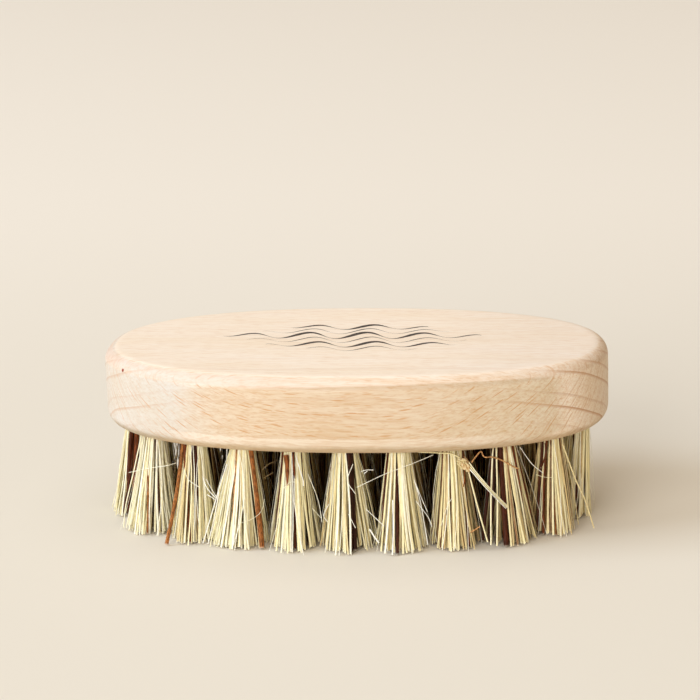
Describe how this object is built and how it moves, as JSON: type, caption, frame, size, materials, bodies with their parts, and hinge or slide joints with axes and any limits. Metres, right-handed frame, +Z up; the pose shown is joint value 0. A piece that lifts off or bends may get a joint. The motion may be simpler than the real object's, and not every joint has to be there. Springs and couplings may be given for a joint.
{
  "type": "hand scrubbing brush",
  "caption": "Oval hand scrubbing brush: a flat beech block with stiff plant-fibre tufts set in rows in its underside.",
  "frame": {"origin": "under the middle of the block, level with the cut tips of the bristles", "axes": "+X along the block's length, +Y away from the side that faces the viewer, +Z up out of the flat top"},
  "size_m": [0.1, 0.0524, 0.0348],
  "materials": {
    "wood": "bare sanded beech, satin",
    "fibre": "matte plant fibre, pale with some brown stalks"
  },
  "bodies": {
    "root": {"beech_block": "wood", "inner_tuft_01": "fibre", "inner_tuft_02": "fibre", "inner_tuft_03": "fibre", "inner_tuft_04": "fibre", "inner_tuft_05": "fibre", "inner_tuft_06": "fibre", "inner_tuft_07": "fibre", "inner_tuft_08": "fibre", "inner_tuft_09": "fibre", "inner_tuft_10": "fibre", "inner_tuft_11": "fibre", "inner_tuft_12": "fibre", "inner_tuft_13": "fibre", "inner_tuft_14": "fibre", "inner_tuft_15": "fibre", "middle_tuft_01": "fibre", "middle_tuft_02": "fibre", "middle_tuft_03": "fibre", "middle_tuft_04": "fibre", "outer_tuft_01": "fibre", "outer_tuft_02": "fibre", "outer_tuft_03": "fibre", "outer_tuft_04": "fibre", "outer_tuft_05": "fibre", "outer_tuft_06": "fibre", "outer_tuft_07": "fibre", "outer_tuft_08": "fibre", "outer_tuft_09": "fibre", "outer_tuft_10": "fibre", "outer_tuft_11": "fibre", "outer_tuft_12": "fibre", "outer_tuft_13": "fibre", "outer_tuft_14": "fibre", "outer_tuft_15": "fibre", "outer_tuft_16": "fibre", "outer_tuft_17": "fibre", "outer_tuft_18": "fibre", "outer_tuft_19": "fibre", "outer_tuft_20": "fibre", "outer_tuft_21": "fibre"}
  },
  "joints": []
}
